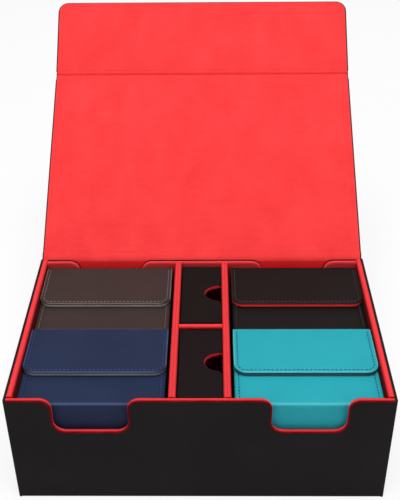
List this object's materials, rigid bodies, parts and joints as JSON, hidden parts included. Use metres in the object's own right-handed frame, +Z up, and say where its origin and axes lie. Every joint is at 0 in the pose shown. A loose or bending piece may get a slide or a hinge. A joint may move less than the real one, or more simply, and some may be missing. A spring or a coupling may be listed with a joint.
{
  "type": "trading card storage case",
  "caption": "Leather-covered card storage case with a clamshell lid, magnetic flap, lined compartments, lift-out deck boxes with hinged flaps and narrow side trays.",
  "frame": {"origin": "centre of the underside of the box", "axes": "+Z up, +X to the right seen from the front, +Y to the back where the lid is hinged"},
  "size_m": [0.275, 0.3808, 0.253],
  "materials": {
    "black_leather": "fine-grained matte black synthetic leather over board",
    "red_velvet": "short-napped red microfibre",
    "brown_leather": "dark brown synthetic leather with tone-on-tone stitching",
    "navy_leather": "navy synthetic leather with tone-on-tone stitching",
    "teal_leather": "teal synthetic leather with darker stitching",
    "black_deck_leather": "matte black synthetic leather",
    "grey_lining": "grey microfibre",
    "red_lining": "red microfibre",
    "slate_lining": "slate grey microfibre",
    "magnet": "nickel-plated disc"
  },
  "bodies": {
    "case": {"base_panel": "black_leather", "front_cover": "black_leather", "left_cover": "black_leather", "right_cover": "black_leather", "spine_cover": "black_leather", "front_wall": "red_velvet", "back_wall": "red_velvet", "left_wall": "red_velvet", "right_wall": "red_velvet", "floor_lining": "red_velvet", "spine_lining": "red_velvet", "left_divider": "red_velvet", "right_divider": "red_velvet", "cross_divider": "red_velvet", "catch_magnets": "magnet", "lid_fold_leather": "black_leather", "lid_fold_lining": "red_velvet"},
    "lid": {"lid_cover": "black_leather", "lid_lining": "red_velvet", "flap_fold_leather": "black_leather", "flap_fold_lining": "red_velvet"},
    "flap": {"flap_cover": "black_leather", "flap_lining": "red_velvet", "flap_magnets": "magnet"},
    "brown_deck": {"brown_deck_shell": "brown_leather", "brown_deck_lining": "grey_lining", "brown_deck_end_panel": "brown_leather", "brown_deck_catch_magnets": "magnet"},
    "brown_deck_flap": {"brown_deck_flap": "brown_leather", "brown_deck_flap_lining": "grey_lining", "brown_deck_flap_magnets": "magnet"},
    "navy_deck": {"navy_deck_shell": "navy_leather", "navy_deck_lining": "grey_lining", "navy_deck_end_panel": "navy_leather", "navy_deck_catch_magnets": "magnet"},
    "navy_deck_flap": {"navy_deck_flap": "navy_leather", "navy_deck_flap_lining": "grey_lining", "navy_deck_flap_magnets": "magnet"},
    "black_deck": {"black_deck_shell": "black_deck_leather", "black_deck_lining": "red_lining", "black_deck_end_panel": "black_deck_leather", "black_deck_catch_magnets": "magnet"},
    "black_deck_flap": {"black_deck_flap": "black_deck_leather", "black_deck_flap_lining": "red_lining", "black_deck_flap_magnets": "magnet"},
    "teal_deck": {"teal_deck_shell": "teal_leather", "teal_deck_lining": "slate_lining", "teal_deck_end_panel": "teal_leather", "teal_deck_catch_magnets": "magnet"},
    "teal_deck_flap": {"teal_deck_flap": "teal_leather", "teal_deck_flap_lining": "slate_lining", "teal_deck_flap_magnets": "magnet"},
    "rear_tray": {"rear_tray_shell": "black_leather", "rear_tray_lining": "red_velvet"},
    "front_tray": {"front_tray_shell": "black_leather", "front_tray_lining": "red_velvet"}
  },
  "joints": [
    {"name": "lid_hinge", "type": "hinge", "parent": "case", "child": "lid", "pos_m": [0, 0.0865, 0.1002], "axis": [-1, 0, 0], "range_deg": [-146.1, 55], "deforming": ["lid_fold_leather", "lid_fold_lining"]},
    {"name": "flap_hinge", "type": "hinge", "parent": "lid", "child": "flap", "pos_m": [0, 0.23806, 0.20204], "axis": [-1, 0, 0], "range_deg": [-85.9, 9.6], "deforming": ["flap_fold_leather", "flap_fold_lining"]},
    {"name": "brown_deck_lift", "type": "slide", "parent": "case", "child": "brown_deck", "axis": [0, 0, 1], "range_m": [0, 0.1]},
    {"name": "brown_flap_hinge", "type": "hinge", "parent": "brown_deck", "child": "brown_deck_flap", "pos_m": [-0.0778, 0.0768, 0.0929], "axis": [-1, 0, 0], "range_deg": [0, 95]},
    {"name": "navy_deck_lift", "type": "slide", "parent": "case", "child": "navy_deck", "axis": [0, 0, 1], "range_m": [0, 0.1]},
    {"name": "navy_flap_hinge", "type": "hinge", "parent": "navy_deck", "child": "navy_deck_flap", "pos_m": [-0.0778, -0.005, 0.0929], "axis": [-1, 0, 0], "range_deg": [0, 95]},
    {"name": "black_deck_lift", "type": "slide", "parent": "case", "child": "black_deck", "axis": [0, 0, 1], "range_m": [0, 0.1]},
    {"name": "black_flap_hinge", "type": "hinge", "parent": "black_deck", "child": "black_deck_flap", "pos_m": [0.0778, 0.0768, 0.0929], "axis": [-1, 0, 0], "range_deg": [0, 95]},
    {"name": "teal_deck_lift", "type": "slide", "parent": "case", "child": "teal_deck", "axis": [0, 0, 1], "range_m": [0, 0.1]},
    {"name": "teal_flap_hinge", "type": "hinge", "parent": "teal_deck", "child": "teal_deck_flap", "pos_m": [0.0778, -0.005, 0.0929], "axis": [-1, 0, 0], "range_deg": [0, 95]},
    {"name": "rear_tray_lift", "type": "slide", "parent": "case", "child": "rear_tray", "axis": [0, 0, 1], "range_m": [0, 0.1]},
    {"name": "front_tray_lift", "type": "slide", "parent": "case", "child": "front_tray", "axis": [0, 0, 1], "range_m": [0, 0.1]}
  ]
}
